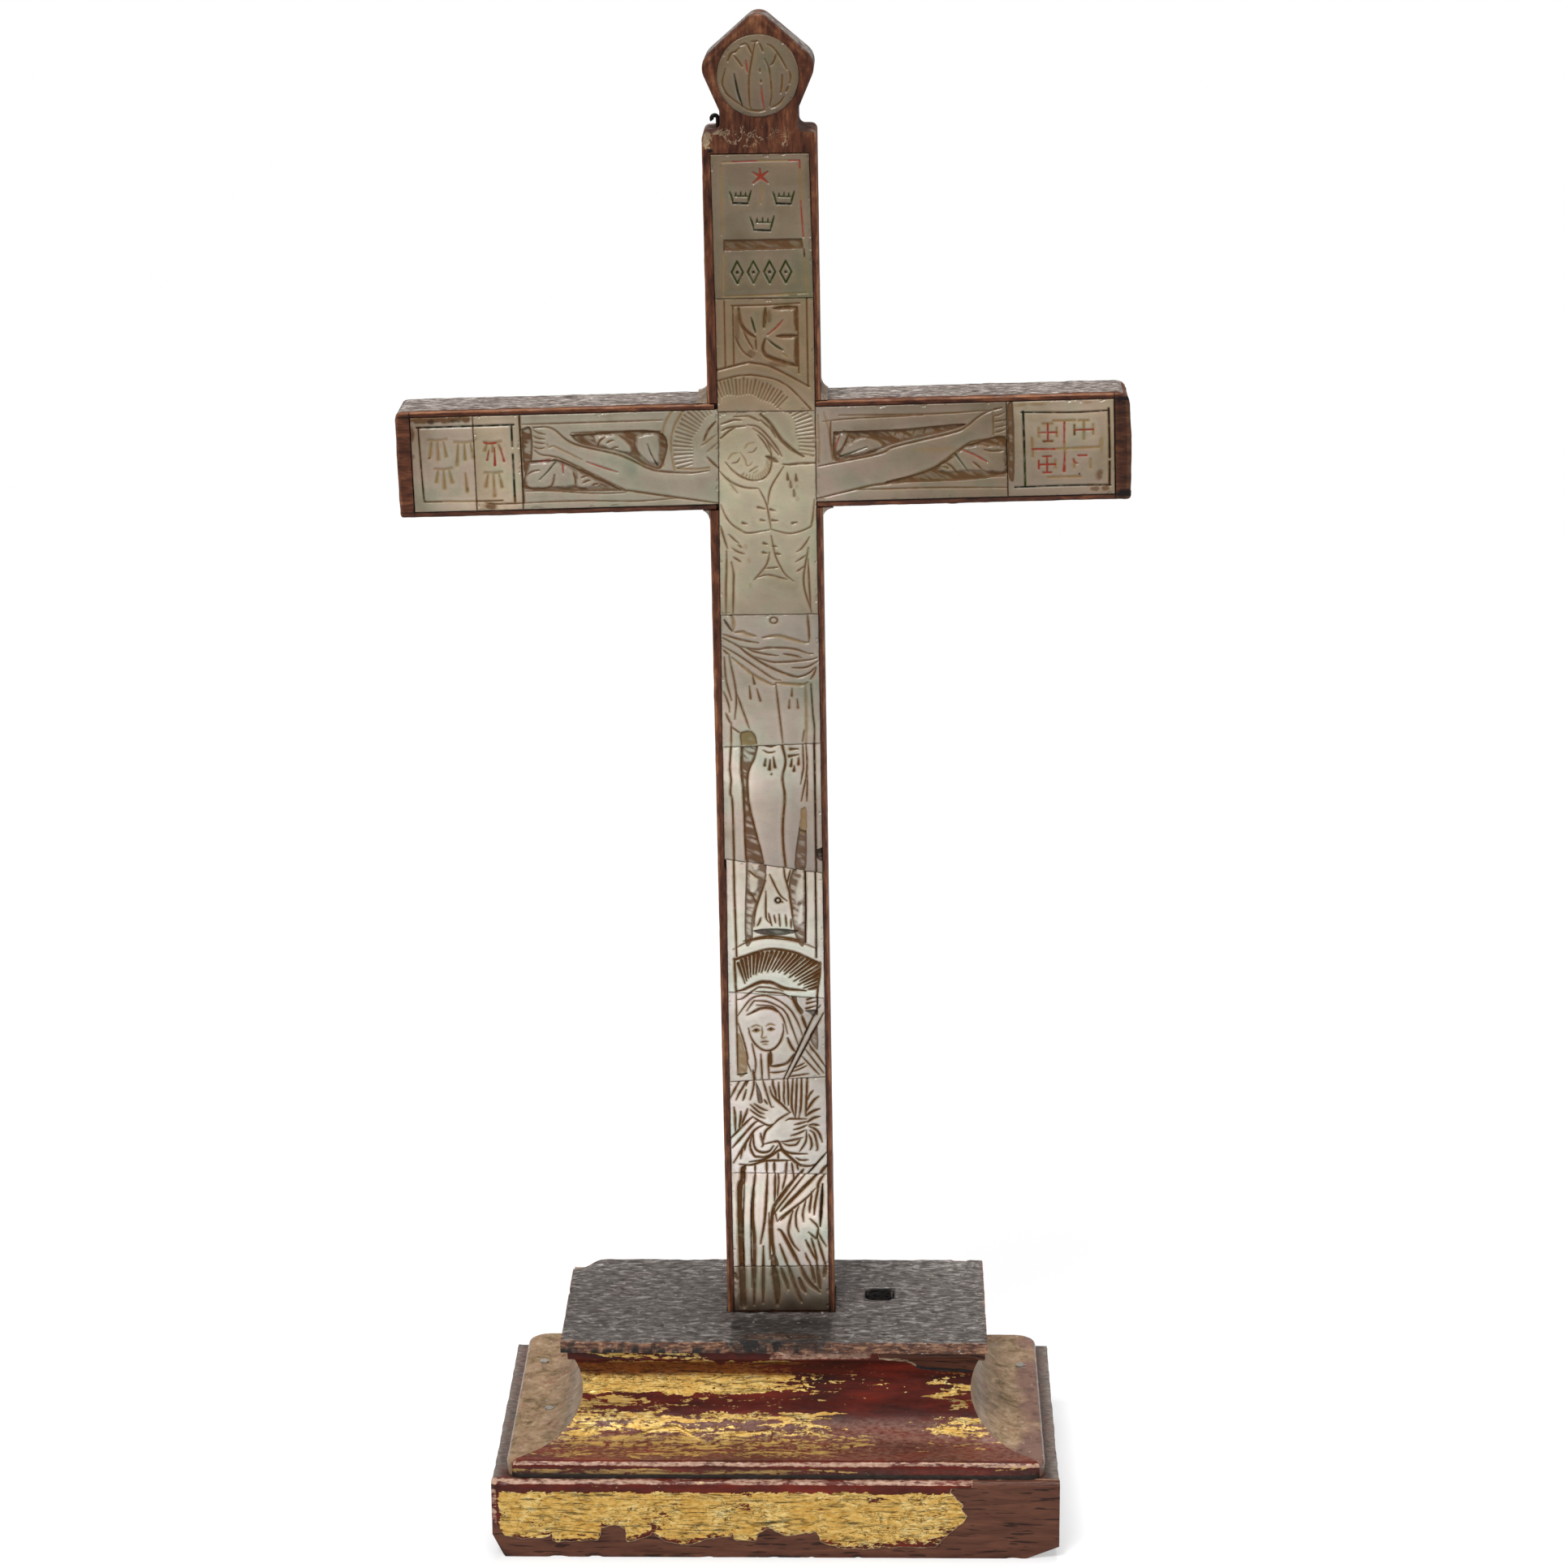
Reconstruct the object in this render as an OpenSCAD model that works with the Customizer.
// Standing cross: a wooden cross faced with pearl plates, set in the mortise of a moulded wooden base.
// Millimetres. Origin under the middle of the plinth, X to the right, Y away from the viewer, Z up.

/* [Plinth] */
// Width of the plinth board
plinth_w = 125.3; // [121:0.1:160]
// Depth of the plinth board, front to back
plinth_d = 76.6; // [74:0.1:110]
// Thickness of the plinth board
plinth_h = 18.2; // [10:0.1:30]
// Worn round along the upper edges of the plinth
plinth_edge_r = 1.2; // [0.4:0.1:3]

/* [Moulding] */
// Height of the mouldings from the plinth to the slab
moulding_h = 24.6; // [20:0.1:30]
// Height of the flat foot of the moulding
foot_h = 3.7; // [2.5:0.1:6]
// How far the foot stands out past the slab's edge
foot_out = 12.2; // [9:0.1:18]
// Round on the nose of the foot
nose_r = 1.3; // [0.4:0.1:2]
// Radius of the hollow below its waist
hollow_low_r = 10.6; // [8:0.1:13]
// Radius of the hollow above its waist
hollow_high_r = 18.7; // [16:0.1:40]
// How far the waist of the hollow lies inside the slab's edge
hollow_depth = 4.1; // [2.5:0.1:6]
// Thickness of a moulding at its waist
strip_t = 5; // [3:0.1:7]
// Height of the square fillet that overhangs the hollow, under the slab
fillet_h = 2.2; // [1:0.1:3]
// How far the fillet lies inside the slab's edge
fillet_in = 1; // [0.4:0.1:1.5]

/* [Slab] */
// Width of the slab
slab_w = 94.7; // [84:0.1:98]
// Depth of the slab, front to back
slab_d = 48.1; // [42:0.1:50]
// Thickness of the slab
slab_t = 2.5; // [1.5:0.1:6]
// Sideways offset of the slab on the mouldings
slab_x = -0.5; // [-1.5:0.1:1.5]

/* [Mortise and socket] */
// Depth of the mortise below the slab's top
mortise_depth = 20; // [12:0.5:24]
// Play between the foot of the cross and each wall of the mortise
mortise_play = 0.35; // [0.2:0.05:0.8]
// Middle of the side socket, across
socket_x = 23; // [19:0.1:28]
// Middle of the side socket, front to back
socket_y = 3.3; // [-6:0.1:6]
// Width of the side socket
socket_w = 6.6; // [4.5:0.1:8]
// Depth of the side socket, front to back
socket_d = 6.8; // [4.5:0.1:8]
// How far the side socket goes down
socket_depth = 14; // [8:0.5:20]

/* [Brads] */
// Shank diameter of the brads
brad_d = 1.1; // [0.8:0.1:1.6]
// Head diameter of the brads
brad_head_d = 2; // [1.8:0.1:3]
// Thickness of the brad heads
brad_head_t = 0.5; // [0.3:0.1:0.8]
// Length of the brads under the head
brad_l = 11; // [6:0.5:12]

/* [Cross] */
// Width of the shaft
shaft_w = 24; // [20:0.1:30]
// Thickness of the cross, front to back
cross_t = 15.3; // [12:0.1:18]
// Height of the shoulder under the head, above the slab
shoulder_v = 265.4; // [250:0.1:290]
// Sideways place of the foot on the slab
foot_x = 0.8; // [-3:0.1:3]
// Place of the front face of the cross
front_y = -6.9; // [-9:0.1:-5]
// Lean of the cross towards the left, in degrees
lean = 0.68; // [0:0.01:2]
// Height of the middle of the crossbar above the slab
arm_v = 196.7; // [185:0.1:210]
// Height of the crossbar
arm_h = 23.1; // [20:0.1:28]
// Reach of the left arm from the shaft's middle
left_reach = 78.6; // [65:0.1:100]
// Reach of the right arm from the shaft's middle
right_reach = 77.6; // [65:0.1:100]
// Skew of the crossbar on the shaft, in degrees
skew = 0.84; // [0:0.01:2]
// Round on the upper corner of the left arm's end
left_end_r = 1.6; // [0.5:0.1:4]
// Round on the upper corner of the right arm's end
right_end_r = 2.6; // [0.5:0.1:4]
// Round on the lower corners of the arms' ends
low_end_r = 0.8; // [0.3:0.1:3]
// Glue gap on each side of the halved joint
lap_gap = 0.1; // [0.05:0.05:0.3]
// Radius of the putty fillets in the inner corners
filler_r = 2.4; // [1:0.1:4]
// How far the putty stays back from the front and back faces
filler_inset = 0.4; // [0.1:0.1:2]

/* [Head] */
// Width of the neck
neck_w = 16.4; // [15:0.1:17.5]
// Width of the head across its corners, before they are rounded
head_w = 25; // [22:0.1:32]
// Height of the straight neck above the shoulder
neck_h = 4.6; // [2.2:0.1:6]
// Height of the head's corners above the shoulder
head_corner_h = 14.5; // [12.6:0.1:19.6]
// Height of the head's point above the shoulder, before it is rounded
head_top_h = 25.7; // [24.6:0.1:37.6]
// Round on the head's point
point_r = 3.7; // [1:0.1:5]
// Round on the head's corners
head_corner_r = 4.2; // [1:0.1:5]
// Round on the shoulders
shoulder_r = 1.3; // [0.4:0.1:2]
// Round where the neck meets the shoulder
neck_fillet_r = 1.4; // [0.4:0.1:1.6]

/* [Neck hook] */
// Thickness of the hook's iron
hook_d = 0.9; // [0.7:0.1:1.1]
// Radius of the hook's bend, at its middle line
hook_bend_r = 0.65; // [0.6:0.05:0.9]
// Length of the hook driven down into the shoulder
hook_in = 7; // [3:0.5:10]
// Height of the hook's straight shank above the shoulder
hook_out = 2; // [1.6:0.1:2.4]
// Angle of the hook's bend, in degrees
hook_turn = 215; // [120:5:230]
// Place of the hook behind the front face
hook_y = 8; // [5:0.1:11]

/* [Plates] */
// Thickness of the pearl plates
plate_t = 1.5; // [1.2:0.1:2.5]
// Depth of the sunk ground that the plates are bedded in
bed_depth = 1.2; // [0.6:0.1:2]
// Gap between neighbouring plates
joint_gap = 0.12; // [0.05:0.01:0.3]
// Gap between the plates and the wooden rim
rim_gap = 0.1; // [0.05:0.05:0.4]
// Gap between the lowest plate and the slab
foot_gap = 0.4; // [0.3:0.1:2]
// Wooden rim left of the plates on the shaft
rim_left = 1.4; // [0.6:0.1:3]
// Wooden rim right of the plates on the shaft
rim_right = 1; // [0.6:0.1:3]
// Wooden rim above the plates on the arms
rim_top = 1.2; // [0.6:0.1:3]
// Wooden rim below the plates on the arms
rim_bottom = 1.2; // [0.6:0.1:3]
// Wooden rim at the left arm's end
end_rim_left = 3.2; // [1:0.1:6]
// Wooden rim at the right arm's end
end_rim_right = 2.5; // [1:0.1:6]
// Diameter of the medallion
medallion_d = 17.3; // [14:0.1:18]
// Height of the medallion's middle above the shoulder
medallion_h = 11.8; // [11.1:0.1:13.1]
// Height of the hem plate
hem_h = 11.2; // [8:0.1:14]
// Height of the robe plate
robe_h = 22.3; // [18:0.1:26]
// Height of the plate with the mother's hands
hands_h = 22.3; // [18:0.1:26]
// Height of the plate with the mother's head
mother_h = 19.7; // [16:0.1:24]
// Height of the feet plate
feet_h = 29.8; // [24:0.1:34]
// Height of the shin plate
shin_h = 27.4; // [23:0.1:31]
// Height of the loincloth plate
loin_h = 29.2; // [25:0.1:33]
// Height of the torso plate
torso_h = 44.4; // [40:0.1:48]
// Height of the leaf plate
leaf_h = 24.2; // [20:0.1:28]
// Height of the title plate
title_h = 30.6; // [26:0.1:33]
// Slant of the joint above the robe plate, in degrees
robe_slant = -1.5; // [-4:0.1:4]
// Slant of the joint above the hands plate, in degrees
hands_slant = 2.4; // [-4:0.1:4]
// Slant of the joint above the mother's head plate, in degrees
mother_slant = -4.5; // [-8:0.1:8]
// Slant of the joint above the feet plate, in degrees
feet_slant = -9.2; // [-12:0.1:12]
// Slant of the joint above the shin plate, in degrees
shin_slant = 1.7; // [-4:0.1:4]
// Width of the outer plate of the left end panel
left_end_w = 13.5; // [8:0.1:20]
// Width of the inner plate of the left end panel
left_inner_w = 9.9; // [6:0.1:16]
// Width of the right end panel
right_end_w = 23.6; // [14:0.1:32]

/* [Hidden] */
$fn = 48;
arc_steps = 8;
over = 1;

// Levels and widths of the base
foot_top = plinth_h + foot_h;
waist_z = foot_top + hollow_low_r;
slab_bottom = plinth_h + moulding_h;
fillet_z = slab_bottom - fillet_h;
slab_top = slab_bottom + slab_t;
core_w = slab_w - 2 * (hollow_depth + strip_t);
core_d = slab_d - 2 * (hollow_depth + strip_t);
strip_out = strip_t + hollow_depth + foot_out;

// Brad spots: side of the base, distance in from the foot's edge, place front to back
brad_spots = [[-1, 4.7, 18.3], [-1, 7.7, -8], [1, 4.1, 16.9]];
// Play round driven iron, and the gap between the hook and the neck
snug_play = 0.05;
hook_gap = 0.15;

// Bed of the plates on the shaft and on the arms
bed_left = -shaft_w / 2 + rim_left;
bed_right = shaft_w / 2 - rim_right;
arm_low = -arm_h / 2 + rim_bottom;
arm_high = arm_h / 2 - rim_top;
arm_bed_left = -left_reach + end_rim_left;
arm_bed_right = right_reach - end_rim_right;
left_joint_a = arm_bed_left + left_end_w;
left_joint_b = left_joint_a + left_inner_w;
right_joint = arm_bed_right - right_end_w;
plate_proud = plate_t - bed_depth;
medallion_v = shoulder_v + medallion_h;

// Plates of the shaft from the foot up: heights, and the slant of the joint above each
shaft_plate_h = [hem_h, robe_h, hands_h, mother_h, feet_h, shin_h, loin_h, torso_h, leaf_h, title_h];
shaft_slant = [0, robe_slant, hands_slant, mother_slant, feet_slant, shin_slant, 0, 0, 0, 0];
function joint_v(i) = i == 0 ? 0 : joint_v(i - 1) + shaft_plate_h[i - 1];
function joint_slant(i) = i == 0 ? 0 : shaft_slant[i - 1];
bed_top = joint_v(len(shaft_plate_h));

// Outline with rounded corners: each point is [x, y, radius], walked the same way round
function unit(v) = v / norm(v);
function bend(p, q, r) = acos(max(-1, min(1, unit(q - p) * unit(r - q))));
function side_of(p, q, r) = sign((q - p)[0] * (r - q)[1] - (q - p)[1] * (r - q)[0]);
function corner(a, b, c, r) =
    let (turn = bend(a, b, c))
    let (s = side_of(a, b, c))
    let (start = b - unit(b - a) * r * tan(turn / 2))
    let (mid = start + s * r * [-unit(b - a)[1], unit(b - a)[0]])
    let (a0 = atan2((start - mid)[1], (start - mid)[0]))
    r <= 0 ? [b] : [for (k = [0:arc_steps])
        mid + r * [cos(a0 + s * turn * k / arc_steps), sin(a0 + s * turn * k / arc_steps)]];
function xy(p) = [p[0], p[1]];
function rounded(pts) = let (n = len(pts)) [for (i = [0:n - 1]) each
    corner(xy(pts[(i + n - 1) % n]), xy(pts[i]), xy(pts[(i + 1) % n]), pts[i][2])];

// Cross frame: X along the shaft's width, Y from its front face back, Z up the shaft from the slab's top
module in_cross() {
    translate([foot_x, front_y, slab_top])
        rotate([0, -lean, 0])
            children();
}

// Arm frame: as the cross frame, turned by the skew about the middle of the crossing
module in_arm() {
    translate([0, 0, arm_v])
        rotate([0, -skew, 0])
            children();
}

// Front-view outline given a thickness from depth y0 to depth y1
module thick(y0, y1) {
    translate([0, y1, 0])
        rotate([90, 0, 0])
            linear_extrude(y1 - y0)
                children();
}

// Box by its lowest and highest corners
module box(lo, hi) {
    translate(lo)
        cube(hi - lo);
}

// Outline of the upright: foot, shaft, shoulders, neck and five-sided head
module upright_outline() {
    w = shaft_w / 2;
    n = neck_w / 2;
    h = head_w / 2;
    right = [[w, -mortise_depth, 0], [w, shoulder_v, shoulder_r], [n, shoulder_v, neck_fillet_r],
        [n, shoulder_v + neck_h, 0], [h, shoulder_v + head_corner_h, head_corner_r]];
    left = [for (i = [len(right) - 1:-1:0]) [-right[i][0], right[i][1], right[i][2]]];
    polygon(rounded(concat(right, [[0, shoulder_v + head_top_h, point_r]], left)));
}

// Outline of the crossbar, seen from the front
module crossbar_outline() {
    polygon(rounded([[-left_reach, -arm_h / 2, low_end_r], [right_reach, -arm_h / 2, low_end_r],
        [right_reach, arm_h / 2, right_end_r], [-left_reach, arm_h / 2, left_end_r]]));
}

// Sunk bed that the plates lie in, as the space to cut away
module plate_bed() {
    box([bed_left, -over, foot_gap - rim_gap], [bed_right, bed_depth, bed_top]);
    in_arm()
        box([arm_bed_left, -over, arm_low], [arm_bed_right, bed_depth, arm_high]);
    thick(-over, bed_depth)
        translate([0, medallion_v])
            circle(d = medallion_d + 2 * rim_gap);
}

// Space that the crossbar takes in the front half of the upright
module lap_in_upright() {
    in_arm()
        box([-shaft_w, -over, -arm_h / 2 - lap_gap], [shaft_w, cross_t / 2, arm_h / 2 + lap_gap]);
}

// Space that the upright takes in the back half of the crossbar
module lap_in_crossbar() {
    w = shaft_w / 2 + lap_gap;
    box([-w, cross_t / 2, arm_v - arm_h], [w, cross_t + over, arm_v + arm_h]);
}

module upright() {
    color("saddlebrown")
        in_cross()
            difference() {
                thick(0, cross_t)
                    upright_outline();
                lap_in_upright();
                plate_bed();
                hook_place()
                    cylinder(d = hook_d + 2 * snug_play, h = hook_in + neck_h);
            }
}

module crossbar() {
    color("sienna")
        in_cross()
            difference() {
                in_arm()
                    thick(0, cross_t)
                        crossbar_outline();
                lap_in_crossbar();
                plate_bed();
            }
}

// Putty in one inner corner: a square with a round bite, kept clear of the crossbar
module corner_fillet(side, level) {
    difference() {
        thick(filler_inset, cross_t - filler_inset)
            translate([side * shaft_w / 2, arm_v + level * arm_h / 2])
                difference() {
                    translate([side > 0 ? lap_gap : -filler_r, level > 0 ? -over : -filler_r])
                        square([filler_r - lap_gap, filler_r + over]);
                    translate([side * filler_r, level * filler_r])
                        circle(r = filler_r - lap_gap);
                }
        in_arm()
            box([-left_reach, -over, -arm_h / 2 - lap_gap],
                [right_reach, cross_t + over, arm_h / 2 + lap_gap]);
    }
}

module corner_filler() {
    color("wheat")
        in_cross()
            for (side = [-1, 1])
                for (level = [-1, 1])
                    corner_fillet(side, level);
}

// Place of the hook: the foot of its shank in the left shoulder, close beside the neck
module hook_place() {
    translate([-neck_w / 2 - hook_gap - hook_d / 2, hook_y, shoulder_v - hook_in])
        children();
}

// Hook: a straight shank, then a bend up and over to the left
module neck_hook() {
    color("dimgray")
        in_cross()
            hook_place() {
                cylinder(d = hook_d, h = hook_in + hook_out);
                translate([-hook_bend_r, 0, hook_in + hook_out])
                    rotate([90, 0, 0])
                        rotate_extrude(angle = hook_turn)
                            translate([hook_bend_r, 0])
                                circle(d = hook_d);
            }
}

// One plate of the shaft: number i from the foot, with its lower and upper joints slanted
module shaft_plate(i) {
    lo = i == 0 ? foot_gap : joint_v(i) + joint_gap / 2;
    hi = joint_v(i + 1) - (i == len(shaft_plate_h) - 1 ? rim_gap : joint_gap / 2);
    l = bed_left + rim_gap;
    r = bed_right - rim_gap;
    a = tan(joint_slant(i));
    b = tan(joint_slant(i + 1));
    color("gainsboro")
        in_cross()
            thick(-plate_proud, bed_depth)
                polygon([[l, lo + l * a], [r, lo + r * a], [r, hi + r * b], [l, hi + l * b]]);
}

// One plate of the arms between a0 and a1, kept clear of the plates on the shaft
module arm_plate(a0, a1) {
    color("gainsboro")
        in_cross()
            difference() {
                in_arm()
                    box([a0, -plate_proud, arm_low + rim_gap], [a1, bed_depth, arm_high - rim_gap]);
                box([bed_left + rim_gap - joint_gap, -over, 0],
                    [bed_right - rim_gap + joint_gap, over + bed_depth, bed_top]);
            }
}

module medallion() {
    color("gainsboro")
        in_cross()
            thick(-plate_proud, bed_depth)
                translate([0, medallion_v])
                    circle(d = medallion_d);
}

module hem_plate() { shaft_plate(0); }
module robe_plate() { shaft_plate(1); }
module mother_hands_plate() { shaft_plate(2); }
module mother_head_plate() { shaft_plate(3); }
module feet_plate() { shaft_plate(4); }
module shin_plate() { shaft_plate(5); }
module loincloth_plate() { shaft_plate(6); }
module torso_plate() { shaft_plate(7); }
module leaf_plate() { shaft_plate(8); }
module title_plate() { shaft_plate(9); }

module left_end_plate() { arm_plate(arm_bed_left + rim_gap, left_joint_a - joint_gap / 2); }
module left_inner_plate() { arm_plate(left_joint_a + joint_gap / 2, left_joint_b - joint_gap / 2); }
module left_arm_plate() { arm_plate(left_joint_b + joint_gap / 2, 0); }
module right_arm_plate() { arm_plate(0, right_joint - joint_gap / 2); }
module right_end_plate() { arm_plate(right_joint + joint_gap / 2, arm_bed_right - rim_gap); }

// Mortise for the foot of the cross, as the space to cut away
module mortise() {
    in_cross()
        box([-shaft_w / 2 - mortise_play, -mortise_play, -mortise_depth],
            [shaft_w / 2 + mortise_play, cross_t + mortise_play, slab_t + over]);
}

// Small empty socket beside the cross, as the space to cut away
module side_socket() {
    box([socket_x - socket_w / 2, socket_y - socket_d / 2, slab_top - socket_depth],
        [socket_x + socket_w / 2, socket_y + socket_d / 2, slab_top + over]);
}

module top_slab() {
    color("#3a2c26")
        difference() {
            box([slab_x - slab_w / 2, -slab_d / 2, slab_bottom],
                [slab_x + slab_w / 2, slab_d / 2, slab_top]);
            mortise();
            side_socket();
        }
}

module core_block() {
    color("peru")
        difference() {
            box([-core_w / 2, -core_d / 2, plinth_h], [core_w / 2, core_d / 2, slab_bottom]);
            mortise();
            side_socket();
        }
}

// Section of a moulding, X out from the core's face and Y up: round-nosed foot, hollow of two arcs, fillet
module moulding_section() {
    edge = strip_t + hollow_depth;
    nose = strip_out - nose_r;
    difference() {
        union() {
            translate([0, plinth_h])
                square([nose, foot_h]);
            translate([0, plinth_h])
                square([strip_out, foot_h - nose_r]);
            translate([nose, foot_top - nose_r])
                circle(r = nose_r);
            translate([0, foot_top])
                square([strip_t + hollow_low_r, waist_z - foot_top]);
            translate([0, waist_z])
                square([edge, fillet_z - waist_z]);
            translate([0, fillet_z])
                square([edge - fillet_in, fillet_h]);
        }
        intersection() {
            translate([strip_t + hollow_low_r, waist_z])
                circle(r = hollow_low_r);
            translate([0, foot_top])
                square([strip_out, hollow_low_r]);
        }
        intersection() {
            translate([strip_t + hollow_high_r, waist_z])
                circle(r = hollow_high_r);
            translate([0, waist_z])
                square([strip_out, fillet_z - waist_z]);
        }
    }
}

// Length of moulding with its inner edge along X on the core's face, mitred at both ends, facing -Y
module moulding_strip(inner) {
    reach = inner / 2 + strip_out;
    intersection() {
        translate([reach, 0, 0])
            rotate([90, 0, -90])
                linear_extrude(2 * reach)
                    moulding_section();
        linear_extrude(slab_top)
            polygon([[-inner / 2, 0], [inner / 2, 0], [reach, -strip_out], [-reach, -strip_out]]);
    }
}

// Brads at all spots, with room left round them where play is above zero
module brads(play) {
    for (spot = brad_spots)
        translate([spot[0] * (core_w / 2 + strip_out - spot[1]), spot[2], foot_top]) {
            cylinder(d = brad_head_d + 2 * play, h = brad_head_t + (play > 0 ? hollow_low_r : 0));
            translate([0, 0, -brad_l - play])
                cylinder(d = brad_d + 2 * play, h = brad_l + play);
        }
}

module front_moulding() {
    color("goldenrod")
        translate([0, -core_d / 2, 0])
            moulding_strip(core_w);
}

module back_moulding() {
    color("#5a3a22")
        translate([0, core_d / 2, 0])
            rotate([0, 0, 180])
                moulding_strip(core_w);
}

module left_moulding() {
    color("#6b4a24")
        difference() {
            translate([-core_w / 2, 0, 0])
                rotate([0, 0, -90])
                    moulding_strip(core_d);
            brads(snug_play);
        }
}

module right_moulding() {
    color("#6b4a24")
        difference() {
            translate([core_w / 2, 0, 0])
                rotate([0, 0, 90])
                    moulding_strip(core_d);
            brads(snug_play);
        }
}

module moulding_brads() {
    color("silver")
        brads(0);
}

// Section of the plinth across a given width: a board with its two upper edges rounded
module plinth_section(w) {
    translate([-w / 2, 0])
        square([w, plinth_h - plinth_edge_r]);
    translate([-w / 2 + plinth_edge_r, 0])
        square([w - 2 * plinth_edge_r, plinth_h]);
    for (side = [-1, 1])
        translate([side * (w / 2 - plinth_edge_r), plinth_h - plinth_edge_r])
            circle(r = plinth_edge_r);
}

module plinth() {
    color("#5c3420")
        difference() {
            intersection() {
                thick(-plinth_d / 2, plinth_d / 2)
                    plinth_section(plinth_w);
                rotate([0, 0, 90])
                    thick(-plinth_w / 2, plinth_w / 2)
                        plinth_section(plinth_d);
            }
            brads(snug_play);
        }
}

upright();
crossbar();
corner_filler();
neck_hook();
medallion();
title_plate();
leaf_plate();
torso_plate();
loincloth_plate();
shin_plate();
feet_plate();
mother_head_plate();
mother_hands_plate();
robe_plate();
hem_plate();
left_end_plate();
left_inner_plate();
left_arm_plate();
right_arm_plate();
right_end_plate();
top_slab();
core_block();
front_moulding();
back_moulding();
left_moulding();
right_moulding();
plinth();
moulding_brads();
